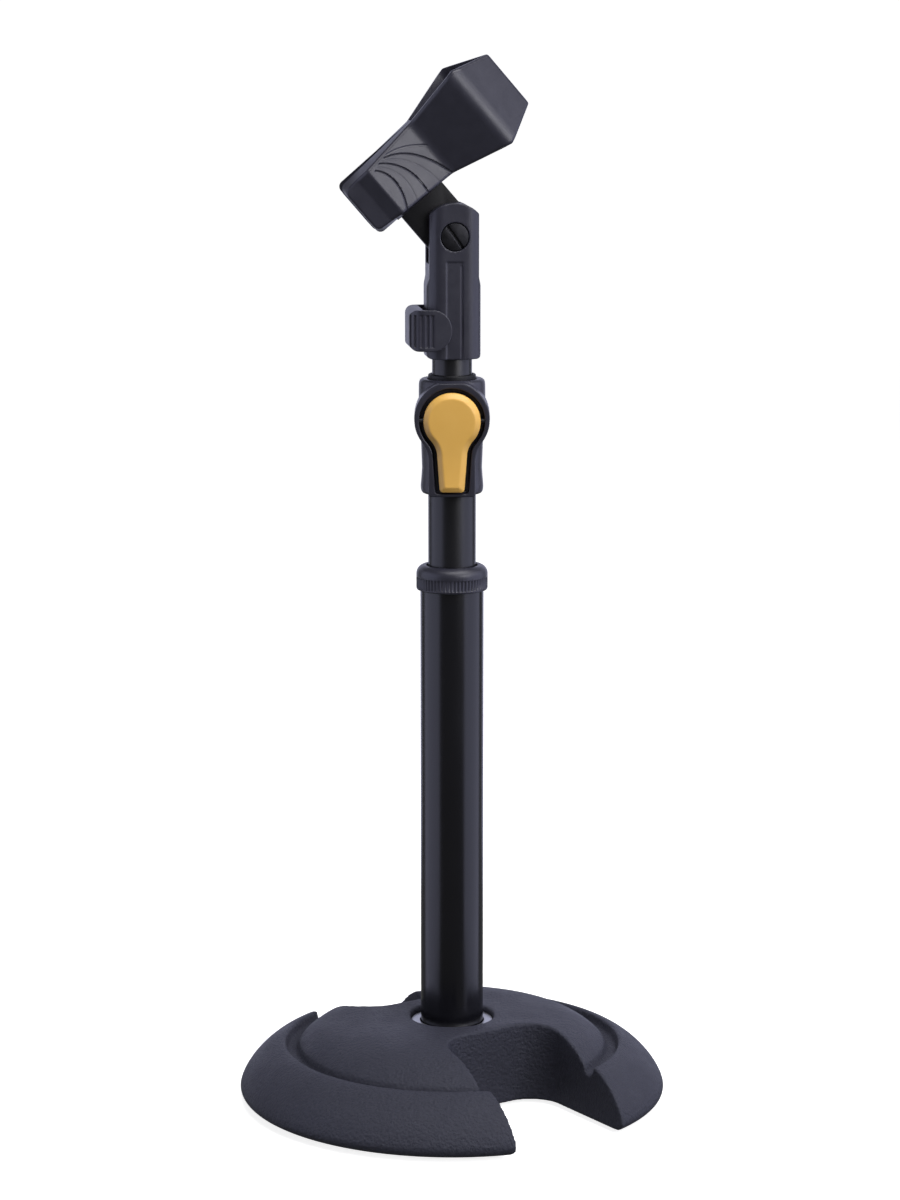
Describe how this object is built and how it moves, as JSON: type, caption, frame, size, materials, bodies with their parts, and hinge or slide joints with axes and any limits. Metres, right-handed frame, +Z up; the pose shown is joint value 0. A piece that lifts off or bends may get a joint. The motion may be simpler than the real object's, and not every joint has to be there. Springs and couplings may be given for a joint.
{
  "type": "low microphone stand",
  "caption": "Low microphone stand: weighted notched base, telescoping column with squeeze clutch, and a tilting sprung clip.",
  "frame": {"origin": "on the column's axis, on the surface that the rubber feet stand on", "axes": "+Z up along the column, -Y towards the clutch lever, +X to the right seen from the lever side"},
  "size_m": [0.174, 0.174, 0.4236],
  "materials": {
    "casting": "textured dark blue-grey powder coat",
    "gloss_tube": "gloss black paint",
    "satin_tube": "satin black paint",
    "charcoal_plastic": "satin charcoal nylon, fine moulded texture",
    "black_plastic": "black nylon",
    "yellow_plastic": "satin golden yellow",
    "rubber": "matt black rubber",
    "zinc_steel": "zinc plated",
    "spring_steel": "oiled spring steel",
    "bush_plastic": "natural acetal"
  },
  "bodies": {
    "base": {"base_casting": "casting", "rubber_foot_1": "rubber", "rubber_foot_2": "rubber", "rubber_foot_3": "rubber", "rubber_foot_4": "rubber", "base_bolt": "zinc_steel", "base_washer": "zinc_steel", "tube_foot_plug": "zinc_steel", "hub_seat_ring": "zinc_steel", "outer_tube": "gloss_tube", "top_bush": "bush_plastic"},
    "collar": {"knurled_collar": "charcoal_plastic"},
    "mast": {"middle_tube": "satin_tube", "mast_guide_bush": "bush_plastic", "clutch_housing": "charcoal_plastic", "clutch_top_bush": "black_plastic", "lever_pin": "spring_steel", "lock_plate_upper": "spring_steel", "lock_plate_lower": "spring_steel", "lock_spring": "spring_steel", "clutch_screw": "zinc_steel"},
    "squeeze_lever": {"clutch_lever": "yellow_plastic"},
    "rod": {"upper_rod": "satin_tube", "rod_end_bush": "bush_plastic", "clip_adapter": "zinc_steel"},
    "neck": {"neck_fork": "charcoal_plastic", "pivot_screw": "zinc_steel", "pivot_nut": "zinc_steel", "fork_washer_front": "bush_plastic", "fork_washer_back": "bush_plastic", "release_pin_front": "spring_steel", "release_pin_back": "spring_steel"},
    "release": {"release_lever": "charcoal_plastic"},
    "clip_core": {"clip_tongue": "black_plastic", "jaw_pin": "spring_steel", "jaw_spring": "spring_steel"},
    "front_clip_jaw": {"front_jaw": "charcoal_plastic", "front_pad": "rubber"},
    "rear_clip_jaw": {"rear_jaw": "charcoal_plastic", "rear_pad": "rubber"}
  },
  "joints": [
    {"name": "collar_turn", "type": "hinge", "parent": "base", "child": "collar", "pos_m": [0, 0, 0.2166], "axis": [0, 0, 1], "range_deg": [0, 180]},
    {"name": "mast_slide", "type": "slide", "parent": "base", "child": "mast", "axis": [0, 0, 1], "range_m": [-0.026, 0.13]},
    {"name": "lever_squeeze", "type": "hinge", "parent": "mast", "child": "squeeze_lever", "pos_m": [0, -0.0148, 0.2813], "axis": [1, 0, 0], "range_deg": [0, 6], "stiffness_Nm_per_rad": 0.3},
    {"name": "rod_slide", "type": "slide", "parent": "mast", "child": "rod", "axis": [0, 0, 1], "range_m": [-0.006, 0.15]},
    {"name": "head_turn", "type": "hinge", "parent": "rod", "child": "neck", "pos_m": [0, 0, 0.32], "axis": [0, 0, 1], "continuous": true},
    {"name": "release_press", "type": "hinge", "parent": "neck", "child": "release", "pos_m": [-0.00744, -0.00091, 0.318], "axis": [-0.1219, 0.9925, 0], "range_deg": [0, 8], "stiffness_Nm_per_rad": 0.2},
    {"name": "clip_tilt", "type": "hinge", "parent": "neck", "child": "clip_core", "pos_m": [0, 0, 0.3532], "axis": [-0.1219, 0.9925, 0], "range_deg": [-45, 130]},
    {"name": "front_jaw_open", "type": "hinge", "parent": "clip_core", "child": "front_clip_jaw", "pos_m": [-0.00974, -0.0012, 0.38684], "axis": [0.6472, 0.0795, -0.7581], "range_deg": [0, 9], "stiffness_Nm_per_rad": 1},
    {"name": "rear_jaw_open", "type": "hinge", "parent": "clip_core", "child": "rear_clip_jaw", "pos_m": [-0.00974, -0.0012, 0.38684], "axis": [-0.6472, -0.0795, 0.7581], "range_deg": [0, 9], "stiffness_Nm_per_rad": 1}
  ],
  "couplings": [
    {"joint": "rear_jaw_open", "follows": "front_jaw_open", "ratio": 1}
  ]
}
